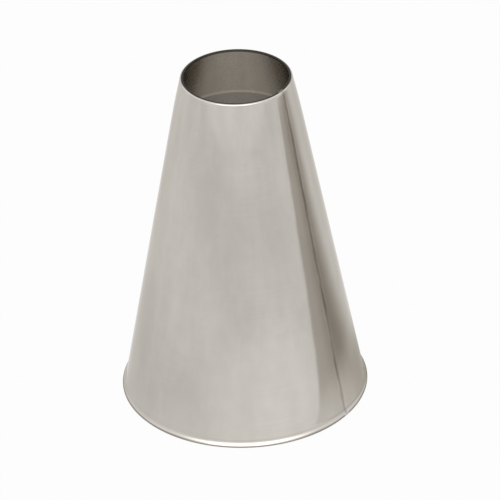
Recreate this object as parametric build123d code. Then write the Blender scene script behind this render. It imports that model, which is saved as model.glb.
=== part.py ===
from build123d import *

# Plain round piping nozzle: a truncated cone, rolled from one fan-shaped blank of stainless sheet.
# The blank's two straight edges meet in a butt seam, welded and planished nearly flat.
# The wide end turns outwards in a small flare, on whose edge the nozzle stands.
# The narrow end is drawn in a little and ground flat, and is the round mouth that shapes the piping.
#
# Millimetres, +Z up along the cone's axis with the mouth on top, -Y the front.
# The origin is the centre of the base, in the plane of the foot.
import os
from math import acos, atan2, cos, hypot, radians, sin, sqrt

# The cone
height = 43.7  # foot to the ground face of the mouth
mouth_bore = 12.7  # inside diameter at the mouth's edge
base_diameter = 30.6  # across the flare's edge
sheet = 0.4  # thickness of the blank

# The mouth's lip
lip_length = 6.0  # how far below the mouth the wall leaves the straight cone
lip_draw = 0.14  # how far the lip has come in from the straight cone at its edge
lip_edge_round = 0.22  # outer corner of the ground edge, rolled over by polishing

# The flare
flare_radius = 1.5  # of the hollow between the wall's outer face and the flare
flare_tilt = 50.0  # degrees between the flare's edge and the axis
flare_edge_round = 0.1  # upper corner of the flare's cut edge
foot_depth = 0.08  # how much of the lower corner is ground off flat to stand on

# The seam
seam_azimuth = 54.5  # degrees from the front, towards +X
weld_width = 0.8  # across the weld, from one edge of the blank to the other
weld_crown = 0.03  # how far the weld stands proud of the sheet, inside and out

overrun = 5.0  # how far cutting shapes reach past what they cut

# The section, in a plane where x is the distance from the axis and y the height.
# Both faces of the sheet bend about one centre, outside the cone and level with the flare's hollow.
# The wall's inner face is a line that would meet the mouth's plane lip_draw outside the bore.
# The flare's corner lies past the base diameter by what its rounding takes off.
base_radius = base_diameter / 2
mouth_radius = mouth_bore / 2
bend_radius = flare_radius + sheet  # of the sheet's inner face
flare_angle = radians(flare_tilt)
flare_normal = Vector(cos(flare_angle), sin(flare_angle))
rounded_off = flare_edge_round * (cos(flare_angle) + sin(flare_angle) - 1)
flare_corner = Vector(base_radius + rounded_off, sheet * sin(flare_angle) - foot_depth)
bend_centre = flare_corner + flare_normal * flare_radius
wall_run = bend_centre.X - mouth_radius - lip_draw
wall_rise = height - bend_centre.Y
half_angle = acos(bend_radius / hypot(wall_run, wall_rise)) - atan2(wall_rise, wall_run)
wall_normal = Vector(cos(half_angle), sin(half_angle))
upwards = Vector(-sin(half_angle), cos(half_angle))  # along the wall, towards the mouth


def flare_face(radius):
    """One face of the sheet round the bend, from the wall down to the flare's edge."""
    middle = (wall_normal + flare_normal).normalized()
    return ThreePointArc(*[bend_centre - normal * radius for normal in (wall_normal, middle, flare_normal)])


def lip_faces():
    """Inner and outer face of the lip, as arcs about one centre that run on smoothly from the wall."""
    foot_of_wall = bend_centre - wall_normal * bend_radius
    start = foot_of_wall + upwards * ((height - lip_length - foot_of_wall.Y) / upwards.Y)
    chord = Vector(mouth_radius, height) - start
    inner_radius = chord.length**2 / (-2 * chord.dot(wall_normal))
    centre = start - wall_normal * inner_radius
    faces = []
    for radius in (inner_radius, inner_radius + sheet):
        top = Vector(centre.X + sqrt(radius**2 - (height - centre.Y) ** 2), height)
        faces.append(TangentArc(centre + wall_normal * radius, top, tangent=upwards))
    return faces


def sheet_section():
    """Section of the blank, from the mouth down the wall and out to the flare's edge."""
    inner_lip, outer_lip = lip_faces()
    inner_flare = flare_face(bend_radius)
    outer_flare = flare_face(flare_radius)
    inner_wall = Line(inner_flare @ 0, inner_lip @ 0)
    outer_wall = Line(outer_lip @ 0, outer_flare @ 0)
    mouth_edge = Line(inner_lip @ 1, outer_lip @ 1)
    flare_edge = Line(outer_flare @ 1, inner_flare @ 1)
    up_the_inside = [inner_flare, inner_wall, inner_lip]
    down_the_outside = [outer_lip, outer_wall, outer_flare]
    section = make_face([*up_the_inside, mouth_edge, *down_the_outside, flare_edge])
    return fillet(section.vertices().sort_by_distance(flare_corner)[0], flare_edge_round)


def ground(section):
    """Section cut flat at the foot and at the mouth, whose outer corner is then rounded."""
    reach = base_radius + overrun
    section = section & Pos(reach / 2, height / 2) * Rectangle(reach, height)
    outer_corner = section.vertices().group_by(Axis.Y)[-1].sort_by(Axis.X)[-1]
    return fillet(outer_corner, lip_edge_round)


def at_seam(shape):
    """Turns what lies along +X to the seam."""
    return Rot(0, 0, seam_azimuth - 90) * shape


def rolled_cone():
    """The blank, rolled, flared and drawn in, and open between its two straight edges."""
    reach = base_radius + overrun
    slit = Pos(reach / 2, 0, height / 2) * Box(reach, weld_width, height + 2 * overrun)
    return revolve(Plane.XZ * ground(sheet_section()), Axis.Z) - at_seam(slit)


def seam_weld():
    """Weld metal between the blank's edges, from the mouth down the wall and out to the flare's edge."""
    bead = offset(sheet_section(), weld_crown, kind=Kind.INTERSECTION)
    return at_seam(extrude(Plane.XZ * ground(bead), weld_width / 2, both=True))


os.makedirs("parts", exist_ok=True)
export_step(rolled_cone(), "parts/rolled_cone.step")
export_step(seam_weld(), "parts/seam_weld.step")
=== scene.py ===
from math import acos, asin, atan2, cos, hypot, pi, radians, sin, sqrt, tan

import bmesh
import bpy
from mathutils import Matrix, Vector


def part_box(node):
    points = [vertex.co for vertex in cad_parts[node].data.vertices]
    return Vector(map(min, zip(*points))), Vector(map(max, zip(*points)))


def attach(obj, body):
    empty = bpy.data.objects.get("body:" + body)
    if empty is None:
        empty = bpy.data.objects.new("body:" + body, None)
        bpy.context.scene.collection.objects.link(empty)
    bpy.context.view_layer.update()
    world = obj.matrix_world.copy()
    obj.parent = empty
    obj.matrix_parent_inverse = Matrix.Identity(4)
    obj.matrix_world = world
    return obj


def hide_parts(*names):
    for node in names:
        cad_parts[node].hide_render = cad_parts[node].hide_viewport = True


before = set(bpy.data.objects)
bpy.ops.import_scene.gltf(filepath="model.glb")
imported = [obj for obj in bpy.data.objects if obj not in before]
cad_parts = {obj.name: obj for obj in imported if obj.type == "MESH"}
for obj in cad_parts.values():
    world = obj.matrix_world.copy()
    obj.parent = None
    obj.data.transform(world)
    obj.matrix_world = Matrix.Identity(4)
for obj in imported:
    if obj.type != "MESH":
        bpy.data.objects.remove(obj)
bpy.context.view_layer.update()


# Rolled cone: one fan-shaped blank of thin stainless sheet, bent round until its straight edges meet.
# Its wide end turns outwards in a small flare, its mouth is drawn in and ground flat,
# and the whole is polished on a turning mandrel, so fine lines run round it.

MM = 0.001
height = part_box("rolled_cone")[1].z
base_radius = 15.3 * MM
mouth_radius = 6.35 * MM
sheet = 0.4 * MM
lip_length = 6.0 * MM
lip_draw = 0.14 * MM
lip_edge_round = 0.22 * MM
flare_radius = 1.5 * MM
flare_angle = radians(50)
flare_edge_round = 0.1 * MM
foot_depth = 0.08 * MM
seam_angle = radians(54.5 - 90)
weld_width = 0.8 * MM

bend_radius = flare_radius + sheet
rounded_off = flare_edge_round * (cos(flare_angle) + sin(flare_angle) - 1)
flare_corner = Vector((base_radius + rounded_off, sheet * sin(flare_angle) - foot_depth))
bend_centre = flare_corner + Vector((cos(flare_angle), sin(flare_angle))) * flare_radius
wall_run = bend_centre.x - mouth_radius - lip_draw
wall_rise = height - bend_centre.y
half_angle = acos(bend_radius / hypot(wall_run, wall_rise)) - atan2(wall_rise, wall_run)
wall_normal = Vector((cos(half_angle), sin(half_angle)))
upwards = Vector((-sin(half_angle), cos(half_angle)))

wall_steps = 24
lip_steps = 12
inner_flare_steps = 12
outer_flare_steps = 20
lip_edge_steps = 8
flare_edge_steps = 6
steps_round = 360
sharpest_smooth = radians(35)


def flare_face(radius, first_angle, last_angle, steps):
    """Points of the section along one face of the sheet, round the bend between wall and flare."""
    angles = [first_angle + (last_angle - first_angle) * k / steps for k in range(steps + 1)]
    return [bend_centre - Vector((cos(angle), sin(angle))) * radius for angle in angles]


def wall_face(radius, steps):
    """Points up the straight wall, on the line at the given distance from the bend's centre."""
    foot_of_wall = bend_centre - wall_normal * radius
    length = (height - lip_length - foot_of_wall.y) / upwards.y
    return [foot_of_wall + upwards * (length * k / steps) for k in range(1, steps)]


def lip_face(off_inner_face, steps):
    """Points up the lip, from the straight wall to the mouth, on the inner face or so far outside it."""
    foot_of_wall = bend_centre - wall_normal * bend_radius
    start = foot_of_wall + upwards * ((height - lip_length - foot_of_wall.y) / upwards.y)
    chord = Vector((mouth_radius, height)) - start
    inner_radius = chord.length**2 / (-2 * chord.dot(wall_normal))
    centre = start - wall_normal * inner_radius
    radius = inner_radius + off_inner_face
    levels = [height - lip_length * (1 - k / steps) for k in range(steps + 1)]
    return [Vector((centre.x + sqrt(radius**2 - (level - centre.y) ** 2), level)) for level in levels]


def rounded_corner(before, corner, after, radius, steps):
    """Points of the arc that rounds a corner between two straight edges."""
    to_before = (before - corner).normalized()
    to_after = (after - corner).normalized()
    half = to_before.angle(to_after) / 2
    centre = corner + (to_before + to_after).normalized() * (radius / sin(half))
    first = corner + to_before * (radius / tan(half)) - centre
    last = corner + to_after * (radius / tan(half)) - centre
    return [centre + first.lerp(last, k / steps).normalized() * radius for k in range(steps + 1)]


def section(crown):
    """Closed outline of the sheet's section, crown metres proud of the sheet's own faces."""
    inner_bend = bend_radius + crown
    outer_bend = flare_radius - crown
    inner_lip = lip_face(-crown, lip_steps)
    outer_lip = lip_face(sheet + crown, lip_steps)
    along_flare = Vector((sin(flare_angle), -cos(flare_angle)))
    down_the_flare = flare_face(outer_bend, half_angle, flare_angle, outer_flare_steps)
    corner = down_the_flare[-1] + along_flare * crown
    edge = Vector((cos(flare_angle), sin(flare_angle)))
    on_the_floor = corner - edge * (corner.y / edge.y)
    outline = flare_face(inner_bend, asin(bend_centre.y / inner_bend), half_angle, inner_flare_steps)
    outline += wall_face(inner_bend, wall_steps) + inner_lip
    outline += rounded_corner(inner_lip[-1], outer_lip[-1], outer_lip[-2], lip_edge_round, lip_edge_steps)
    outline += outer_lip[-2::-1] + wall_face(outer_bend, wall_steps)[::-1] + down_the_flare[:-2]
    outline += rounded_corner(down_the_flare[-2], corner, on_the_floor, flare_edge_round, flare_edge_steps)
    return outline + [on_the_floor]


def spin_section(mesh, outline, middle, half_sweep, steps):
    """Spins a closed outline round the cone's axis, as far to each side of an angle, with a UV round and up."""
    start = Matrix.Rotation(middle - half_sweep, 3, "Z")
    ring = [mesh.verts.new(start @ Vector((point.x, 0, point.y))) for point in outline]
    loop = [mesh.edges.new(pair) for pair in zip(ring, ring[1:] + ring[:1])]
    bmesh.ops.spin(mesh, geom=ring + loop, axis=(0, 0, 1), angle=2 * half_sweep, steps=steps)
    uv = mesh.loops.layers.uv.new("round_and_up")
    for face in mesh.faces:
        for corner in face.loops:
            corner[uv].uv = (turned(corner.vert, middle) / half_sweep / 2 + 0.5, corner.vert.co.z / height)


def turned(vertex, middle):
    """How far round the axis a vertex lies from an angle, between minus and plus half a turn."""
    return (atan2(vertex.co.y, vertex.co.x) - middle + pi) % (2 * pi) - pi


def finish_mesh(mesh_name, mesh):
    """Closes the section's ends, makes all but sharp edges smooth, and puts the object at the origin."""
    bmesh.ops.holes_fill(mesh, edges=[edge for edge in mesh.edges if edge.is_boundary])
    bmesh.ops.recalc_face_normals(mesh, faces=mesh.faces)
    for face in mesh.faces:
        face.smooth = True
    for edge in mesh.edges:
        edge.smooth = edge.calc_face_angle(pi) < sharpest_smooth
    data = bpy.data.meshes.new(mesh_name)
    mesh.to_mesh(data)
    mesh.free()
    piece = bpy.data.objects.new(mesh_name, data)
    bpy.context.scene.collection.objects.link(piece)
    return piece


def roll_sheet():
    """The sheet, from one edge of the blank round to the other, with both edges straight and side by side."""
    opposite = seam_angle + pi
    half_sweep = pi - asin(weld_width / 2 / base_radius)
    mesh = bmesh.new()
    spin_section(mesh, section(0), opposite, half_sweep, steps_round)
    for vertex in mesh.verts:
        radius = vertex.co.xy.length
        reach = pi - asin(weld_width / 2 / radius)
        angle = opposite + turned(vertex, opposite) / half_sweep * reach
        vertex.co.xy = (radius * cos(angle), radius * sin(angle))
    return finish_mesh("rolled_sheet", mesh)


rolled_sheet = roll_sheet()

# Outside: steel polished to a soft gloss, faintly uneven in tone and form. Its cut edges are painted dark: the
# raw edge at the foot with a painted contact shadow, and the dull ground face and inner rim at the mouth with a
# painted dark reflection and painted shade.
dark_steel = (0.488, 0.462, 0.422)
light_steel = (0.562, 0.529, 0.488)
cut_edge_and_shade_colour = (0.15, 0.138, 0.12)
rim_tint = (0.82, 0.8, 0.77, 1)
polish_direction = 0.55
gloss_range = (0.07, 0.14)
wave_depth = 0.02 * MM
facet_depth = 0.014 * MM
polish_line_depth = 0.0008 * MM
foot_cut_and_shadow_radii = (15.14 * MM, 15.26 * MM)
mouth_cut_and_shade_radii = (6.66 * MM, 6.58 * MM)
mouth_cut_and_shade_levels = (height - 0.3 * MM, height - 0.2 * MM)
most_noise = (0.3, 0.7)

steel = bpy.data.materials.new("polished_steel")
steel.use_nodes = True
nodes = steel.node_tree.nodes
links = steel.node_tree.links
shader = nodes["Principled BSDF"]
shader.inputs["Metallic"].default_value = 1.0
shader.inputs["Anisotropic"].default_value = polish_direction
shader.inputs["Specular Tint"].default_value = rim_tint

place = nodes.new("ShaderNodeUVMap")
place.uv_map = "round_and_up"


def stretched_noise(round_it, up_it, detail, seed):
    """Noise on a rolled piece, with so many features round it and so many up it."""
    mapping = nodes.new("ShaderNodeMapping")
    mapping.inputs["Scale"].default_value = (round_it, up_it, 1)
    mapping.inputs["Location"].default_value = (seed, seed * 1.7, seed * 0.3)
    noise = nodes.new("ShaderNodeTexNoise")
    noise.inputs["Scale"].default_value = 1
    noise.inputs["Detail"].default_value = detail
    links.new(place.outputs["UV"], mapping.inputs["Vector"])
    links.new(mapping.outputs["Vector"], noise.inputs["Vector"])
    return noise.outputs["Fac"]


def ramp(value, span, levels=(0, 1)):
    """A smooth step from one level to the other, while a value crosses a span."""
    step = nodes.new("ShaderNodeMapRange")
    step.interpolation_type = "SMOOTHSTEP"
    step.inputs["From Min"].default_value, step.inputs["From Max"].default_value = span
    step.inputs["To Min"].default_value, step.inputs["To Max"].default_value = levels
    links.new(value, step.inputs["Value"])
    return step.outputs["Result"]


def joined(operation, first, second=0):
    """One value with another value or a number, added, multiplied or as the operation says."""
    result = nodes.new("ShaderNodeMath")
    result.operation = operation
    links.new(first, result.inputs[0])
    if isinstance(second, (int, float)):
        result.inputs[1].default_value = second
    else:
        links.new(second, result.inputs[1])
    return result.outputs["Value"]


def blended(share, first, second):
    """A colour that goes from the first to the second as the share goes from none to all."""
    mix = nodes.new("ShaderNodeMix")
    mix.data_type = "RGBA"
    links.new(share, mix.inputs["Factor"])
    for colour, name in ((first, "A"), (second, "B")):
        if isinstance(colour, tuple):
            mix.inputs[name].default_value = (*colour, 1)
        else:
            links.new(colour, mix.inputs[name])
    return mix.outputs["Result"]


def bumped(value, depth, below=None):
    """Raises the surface by a noise value times a depth in metres, on top of the bump below."""
    bump = nodes.new("ShaderNodeBump")
    bump.inputs["Distance"].default_value = depth
    links.new(value, bump.inputs["Height"])
    if below:
        links.new(below, bump.inputs["Normal"])
    return bump.outputs["Normal"]


def on_object():
    """The place on the object as a vector, and its height above the foot."""
    where = nodes.new("ShaderNodeTexCoord").outputs["Object"]
    parts = nodes.new("ShaderNodeSeparateXYZ")
    links.new(where, parts.inputs["Vector"])
    return where, parts.outputs["Z"]


polish_lines = stretched_noise(round_it=6, up_it=420, detail=4, seed=3.1)
wide_patches = stretched_noise(round_it=8, up_it=3, detail=2, seed=9.4)
streaks = stretched_noise(round_it=36, up_it=2.2, detail=3, seed=7.7)
small_patches = stretched_noise(round_it=60, up_it=22, detail=2, seed=2.6)
patchiness = joined("MULTIPLY", wide_patches, 0.5)
for pattern, pattern_share in ((streaks, 0.22), (small_patches, 0.14), (polish_lines, 0.14)):
    patchiness = joined("ADD", patchiness, joined("MULTIPLY", pattern, pattern_share))
steel_tone = blended(ramp(patchiness, (0.35, 0.65)), dark_steel, light_steel)

where, level = on_object()
flattened = nodes.new("ShaderNodeVectorMath")
flattened.operation = "MULTIPLY"
flattened.inputs[1].default_value = (1, 1, 0)
links.new(where, flattened.inputs[0])
from_axis = nodes.new("ShaderNodeVectorMath")
from_axis.operation = "LENGTH"
links.new(flattened.outputs["Vector"], from_axis.inputs[0])
# Painted shade: a contact shadow on the foot's raw outer edge, and a dark reflection and shade on the mouth's
# ground face and inner rim.
cut_foot_and_shadow = ramp(from_axis.outputs["Value"], foot_cut_and_shadow_radii, (0, 0.75))
cut_mouth_and_dark_reflection = joined("MULTIPLY", ramp(from_axis.outputs["Value"], mouth_cut_and_shade_radii), ramp(level, mouth_cut_and_shade_levels))
cut_edges_and_shade = joined("MAXIMUM", cut_foot_and_shadow, cut_mouth_and_dark_reflection)
links.new(blended(cut_edges_and_shade, steel_tone, cut_edge_and_shade_colour), shader.inputs["Base Color"])
links.new(ramp(polish_lines, most_noise, gloss_range), shader.inputs["Roughness"])
waves = bumped(stretched_noise(round_it=18, up_it=14, detail=1, seed=5.9), wave_depth)
facets = bumped(stretched_noise(round_it=22, up_it=1.1, detail=1, seed=1.3), facet_depth, waves)
links.new(bumped(polish_lines, polish_line_depth, facets), shader.inputs["Normal"])

tangent = nodes.new("ShaderNodeTangent")
tangent.direction_type = "RADIAL"
tangent.axis = "Z"
links.new(tangent.outputs["Tangent"], shader.inputs["Tangent"])

rolled_sheet.data.materials.append(steel)

# Inside: the same sheet, left duller and darker below the die line, with a light line where the die that drew
# in the mouth stopped: a die mark whose brightness is a painted highlight.
inside_dullness = 0.24
die_depth = 6.6 * MM
die_level = height - die_depth
die_line_highlight_colour = (0.8, 0.77, 0.72)
darker_below_die_colour = (0.28, 0.265, 0.245)
towards_axis = -0.5

dull_steel = steel.copy()
dull_steel.name = "dull_inside"
nodes = dull_steel.node_tree.nodes
links = dull_steel.node_tree.links
shader = nodes["Principled BSDF"]
links.remove(shader.inputs["Roughness"].links[0])
shader.inputs["Roughness"].default_value = inside_dullness
shader.inputs["Anisotropic"].default_value = 0.0
level = on_object()[1]
# Painted highlight: a thin light ring at the die mark, brighter than the steel around it.
above_line = ramp(level, (die_level - 0.1 * MM, die_level), (0, 0.6))
below_line = ramp(level, (die_level + 0.1 * MM, die_level + 0.4 * MM), (1, 0))
die_line_highlight = joined("MULTIPLY", above_line, below_line)
# Darker below the die line.
darker_below_die = ramp(level, (die_level - 0.3 * MM, die_level + 0.1 * MM), (0.4, 0))
inside_tone = blended(darker_below_die, shader.inputs["Base Color"].links[0].from_socket, darker_below_die_colour)
links.new(blended(die_line_highlight, inside_tone, die_line_highlight_colour), shader.inputs["Base Color"])
rolled_sheet.data.materials.append(dull_steel)
for polygon in rolled_sheet.data.polygons:
    if polygon.normal.xy.dot(polygon.center.xy.normalized()) < towards_axis:
        polygon.material_index = 1

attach(rolled_sheet, "root")
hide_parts("rolled_cone")


# Seam weld: the thin run of weld metal that joins the blank's two edges, from the mouth down to the
# flare's edge. It was planished nearly flush and brushed, and keeps a faint ripple and a fine dark line.

weld_crown = 0.012 * MM
ripple = 0.003 * MM
ripple_pitch = 0.55 * MM
ripple_bend = 1.5
steps_across = 8


def run_weld():
    """The section carried across the seam, proudest along its middle and with straight, flush sides."""
    half_sweep = asin(weld_width / 2 / base_radius)
    flush, crowned = bmesh.new(), bmesh.new()
    spin_section(flush, section(0), seam_angle, half_sweep, steps_across)
    spin_section(crowned, section(weld_crown), seam_angle, half_sweep, steps_across)
    for vertex, proud in zip(flush.verts, crowned.verts):
        side = turned(vertex, seam_angle) / half_sweep
        wave = sin(2 * pi * vertex.co.z / ripple_pitch + ripple_bend * side**2)
        swell = (1 - side**2) * (1 + ripple / weld_crown * wave)
        vertex.co = vertex.co.lerp(proud.co, swell)
        radius = vertex.co.xy.length
        angle = seam_angle + asin(side * weld_width / 2 / radius)
        vertex.co.xy = (radius * cos(angle), radius * sin(angle))
    crowned.free()
    return finish_mesh("seam_bead", flush)


seam_bead = run_weld()

dark_weld = (0.44, 0.41, 0.37)
light_weld = (0.53, 0.50, 0.46)
weld_line_colour = (0.2, 0.18, 0.15)
brush_direction = 0.3
brushed_gloss_range = (0.15, 0.26)
brush_mark_depth = 0.002 * MM

weld_metal = bpy.data.materials.new("weld_metal")
weld_metal.use_nodes = True
nodes = weld_metal.node_tree.nodes
links = weld_metal.node_tree.links
shader = nodes["Principled BSDF"]
shader.inputs["Metallic"].default_value = 1.0
shader.inputs["Anisotropic"].default_value = brush_direction
place = nodes.new("ShaderNodeUVMap")
place.uv_map = "round_and_up"

brushing = stretched_noise(round_it=18, up_it=30, detail=3, seed=2.2)
weld_patches = stretched_noise(round_it=1, up_it=14, detail=2, seed=4.4)
weld_tone = blended(ramp(weld_patches, most_noise), dark_weld, light_weld)
across = nodes.new("ShaderNodeSeparateXYZ")
links.new(place.outputs["UV"], across.inputs["Vector"])
wander = ramp(stretched_noise(round_it=0.5, up_it=11, detail=2, seed=6.1), most_noise, (-0.62, -0.38))
off_line = joined("ABSOLUTE", joined("ADD", across.outputs["X"], wander))
strength = ramp(stretched_noise(round_it=0.5, up_it=8, detail=2, seed=8.8), most_noise, (0.25, 0.75))
dark_line = joined("MULTIPLY", ramp(off_line, (0.02, 0.5), (1, 0)), strength)
links.new(blended(dark_line, weld_tone, weld_line_colour), shader.inputs["Base Color"])
links.new(ramp(brushing, most_noise, brushed_gloss_range), shader.inputs["Roughness"])
links.new(bumped(brushing, brush_mark_depth), shader.inputs["Normal"])

seam_bead.data.materials.append(weld_metal)
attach(seam_bead, "root")
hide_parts("seam_weld")


# Floor: a wide plain white table. The camera sees it white, and that white lets a soft shadow through.
# For the metal it is painted with light and shade: a painted pool of light a little brighter in front of the
# nozzle, a little dimmer to the left, a painted fan of shade to the right and at the foot, as where something
# keeps the light off it, and a painted glow under the nozzle.

table_half = 1.5
table_colour = (0.9, 0.9, 0.9, 1)
table_roughness = 0.9
shade_tint = (1, 0.955, 0.864)
painted_light_pool_centre = (12 * MM, -40 * MM, 0)
painted_dim_patch_centre = (-24 * MM, -10 * MM, 0)
fan_apex = (-33 * MM, -8.5 * MM, 0)
fan_edge = (radians(-7.2), radians(-6.2))
fan_darkening = (radians(-2), radians(9))
fan_clearing = (radians(9), radians(27))
under_nozzle = 15.2 * MM

floor_mesh = bmesh.new()
bmesh.ops.create_grid(floor_mesh, x_segments=1, y_segments=1, size=table_half)
floor_data = bpy.data.meshes.new("floor")
floor_mesh.to_mesh(floor_data)
floor_mesh.free()
floor = bpy.data.objects.new("floor", floor_data)
bpy.context.scene.collection.objects.link(floor)
white = bpy.data.materials.new("white_table")
white.use_nodes = True
nodes = white.node_tree.nodes
links = white.node_tree.links
paint = nodes["Principled BSDF"]
paint.inputs["Base Color"].default_value = table_colour
paint.inputs["Roughness"].default_value = table_roughness
paint.inputs["Specular IOR Level"].default_value = 0.0

where = nodes.new("ShaderNodeTexCoord").outputs["Object"]


def distance_from(point):
    """How far a place on the table is from a point."""
    distance = nodes.new("ShaderNodeVectorMath")
    distance.operation = "DISTANCE"
    distance.inputs[1].default_value = point
    links.new(where, distance.inputs[0])
    return distance.outputs["Value"]


def offset_from(point):
    """How far right and how far back a place on the table is from a point."""
    offset = nodes.new("ShaderNodeVectorMath")
    offset.operation = "SUBTRACT"
    offset.inputs[1].default_value = point
    links.new(where, offset.inputs[0])
    parts = nodes.new("ShaderNodeSeparateXYZ")
    links.new(offset.outputs["Vector"], parts.inputs["Vector"])
    return parts.outputs["X"], parts.outputs["Y"]


from_nozzle = distance_from((0, 0, 0))
rightwards, backwards = offset_from((0, 0, 0))
# Painted light and shade on the table, seen only by the metal: a pool of light in front, dimmer to the left,
# brighter far in front.
painted_light_pool = ramp(distance_from(painted_light_pool_centre), (18 * MM, 52 * MM), (1.13, 0.98))
painted_dim_patch = ramp(distance_from(painted_dim_patch_centre), (4 * MM, 30 * MM), (0.92, 1))
middle_front = ramp(backwards, (-60 * MM, -110 * MM), (1, 0.965))
far_front = ramp(backwards, (-160 * MM, -240 * MM), (1, 1.14))

# Painted shadow: a fan of shade to the right of the nozzle, and painted contact shade at its foot.
fan_right, fan_back = offset_from(fan_apex)
fan_turn = joined("ARCTAN2", fan_back, fan_right)
fan = joined("ADD", ramp(fan_turn, fan_darkening, (0, -0.2)), ramp(fan_turn, fan_clearing, (0, 0.58)))
fan = joined("ADD", ramp(fan_turn, fan_edge, (0, -0.38)), fan)
fan = joined("MULTIPLY", fan, ramp(from_nozzle, (17 * MM, 34 * MM), (0.4, 1)))
fan = joined("MULTIPLY", fan, ramp(from_nozzle, (160 * MM, 300 * MM), (1, 0)))
painted_foot_shade = ramp(from_nozzle, (16 * MM, 26 * MM), (-0.3, 0))
painted_foot_shade = joined("MULTIPLY", painted_foot_shade, ramp(fan_turn, (0, radians(25))))
on_the_right = ramp(rightwards, (0, 8 * MM))
shade = joined("ADD", joined("MULTIPLY", joined("ADD", fan, painted_foot_shade), on_the_right), 1)

open_table = joined("MULTIPLY", painted_light_pool, painted_dim_patch)
for part_of_table in (joined("MULTIPLY", middle_front, far_front), shade):
    open_table = joined("MULTIPLY", open_table, part_of_table)
# Painted glow: under the nozzle the table shines for the metal, brightest in the middle, and lights the cone's
# inside like a lamp.
inside = ramp(from_nozzle, (0, 12 * MM), (1.5, 0.64))
brightness = nodes.new("ShaderNodeMix")
links.new(joined("GREATER_THAN", from_nozzle, under_nozzle), brightness.inputs["Factor"])
links.new(inside, brightness.inputs["A"])
links.new(open_table, brightness.inputs["B"])
in_metal = nodes.new("ShaderNodeEmission")
links.new(brightness.outputs["Result"], in_metal.inputs["Strength"])
links.new(blended(ramp(shade, (0.4, 1)), shade_tint, (1, 1, 1)), in_metal.inputs["Color"])
in_camera = nodes.new("ShaderNodeEmission")
in_camera.inputs["Strength"].default_value = 1.0

rays = nodes.new("ShaderNodeLightPath")
seen = nodes.new("ShaderNodeMixShader")
whitened = ramp(from_nozzle, (14.4 * MM, under_nozzle), (0.4, 0.95))
links.new(joined("MULTIPLY", rays.outputs["Is Camera Ray"], whitened), seen.inputs["Fac"])
links.new(paint.outputs["BSDF"], seen.inputs[1])
links.new(in_camera.outputs["Emission"], seen.inputs[2])
mirrored = joined("MAXIMUM", rays.outputs["Is Glossy Ray"], rays.outputs["Is Transmission Ray"])
shown = nodes.new("ShaderNodeMixShader")
links.new(mirrored, shown.inputs["Fac"])
links.new(seen.outputs["Shader"], shown.inputs[1])
links.new(in_metal.outputs["Emission"], shown.inputs[2])
links.new(shown.outputs["Shader"], nodes["Material Output"].inputs["Surface"])
floor.data.materials.append(white)


# Studio: even white light from all round and one small soft lamp high up at the front. The metal mirrors
# the white ceiling brighter towards the front and dimmer low down at the back.

room_light = 0.6
key_size = (0.5, 0.3)
key_watts = 0.5
key_place = (-0.05, -0.34, 0.5)
key_aim = Vector((0, 0, 0.02))

world = bpy.data.worlds.new("white_tent")
bpy.context.scene.world = world
world.use_nodes = True
nodes = world.node_tree.nodes
links = world.node_tree.links
rays = nodes.new("ShaderNodeLightPath")
towards = nodes.new("ShaderNodeTexCoord")
direction = nodes.new("ShaderNodeSeparateXYZ")
links.new(towards.outputs["Generated"], direction.inputs["Vector"])
up, back = direction.outputs["Z"], direction.outputs["Y"]
sky = ramp(up, (0.1, 0.5), (1, 1.25))
front_ceiling = joined("MULTIPLY", ramp(up, (0.3, 0.7), (0, 1.9)), ramp(back, (-0.25, -0.7)))
back_ceiling = joined("MULTIPLY", ramp(up, (0.3, 0.45), (0, -0.9)), ramp(back, (0.65, 0.82)))
light = nodes.new("ShaderNodeMix")
links.new(rays.outputs["Is Glossy Ray"], light.inputs["Factor"])
links.new(ramp(rays.outputs["Is Diffuse Ray"], (0, 1), (1, room_light)), light.inputs["A"])
links.new(joined("ADD", joined("ADD", front_ceiling, back_ceiling), sky), light.inputs["B"])
nodes["Background"].inputs["Color"].default_value = (1, 1, 1, 1)
links.new(light.outputs["Result"], nodes["Background"].inputs["Strength"])

key_data = bpy.data.lights.new("key", "AREA")
key_data.shape = "RECTANGLE"
key_data.size, key_data.size_y = key_size
key_data.energy = key_watts
key = bpy.data.objects.new("key", key_data)
key.location = key_place
key.rotation_euler = (key_aim - key.location).to_track_quat("-Z", "Y").to_euler()
bpy.context.scene.collection.objects.link(key)


# Camera: a long lens, 32 degrees above the table, fitted to the photo's outline.

camera_distance = 550.8 * MM
camera_elevation = radians(32.02)
camera_yaw = radians(0.1111)
camera_pitch = radians(-0.2482)
camera_roll = radians(-1.7055)
focal_pixels = 4492.8
photo_pixels = 500
sensor_width = 36

target = Vector((0, 0, height / 2))
eye = target + Vector((0, -cos(camera_elevation), sin(camera_elevation))) * camera_distance
ahead = (target - eye).normalized()
right = Vector((1, 0, 0))
up = right.cross(ahead)
ahead, right = (
    ahead * cos(camera_yaw) + right * sin(camera_yaw),
    right * cos(camera_yaw) - ahead * sin(camera_yaw),
)
ahead, up = (
    ahead * cos(camera_pitch) + up * sin(camera_pitch),
    up * cos(camera_pitch) - ahead * sin(camera_pitch),
)
right, up = (
    right * cos(camera_roll) + up * sin(camera_roll),
    up * cos(camera_roll) - right * sin(camera_roll),
)
camera_data = bpy.data.cameras.new("camera")
camera_data.sensor_width = sensor_width
camera_data.lens = sensor_width * focal_pixels / photo_pixels
camera = bpy.data.objects.new("camera", camera_data)
camera.matrix_world = Matrix.Translation(eye) @ Matrix((right, up, -ahead)).transposed().to_4x4()
bpy.context.scene.collection.objects.link(camera)
bpy.context.scene.camera = camera
bpy.context.scene.view_settings.view_transform = "Standard"
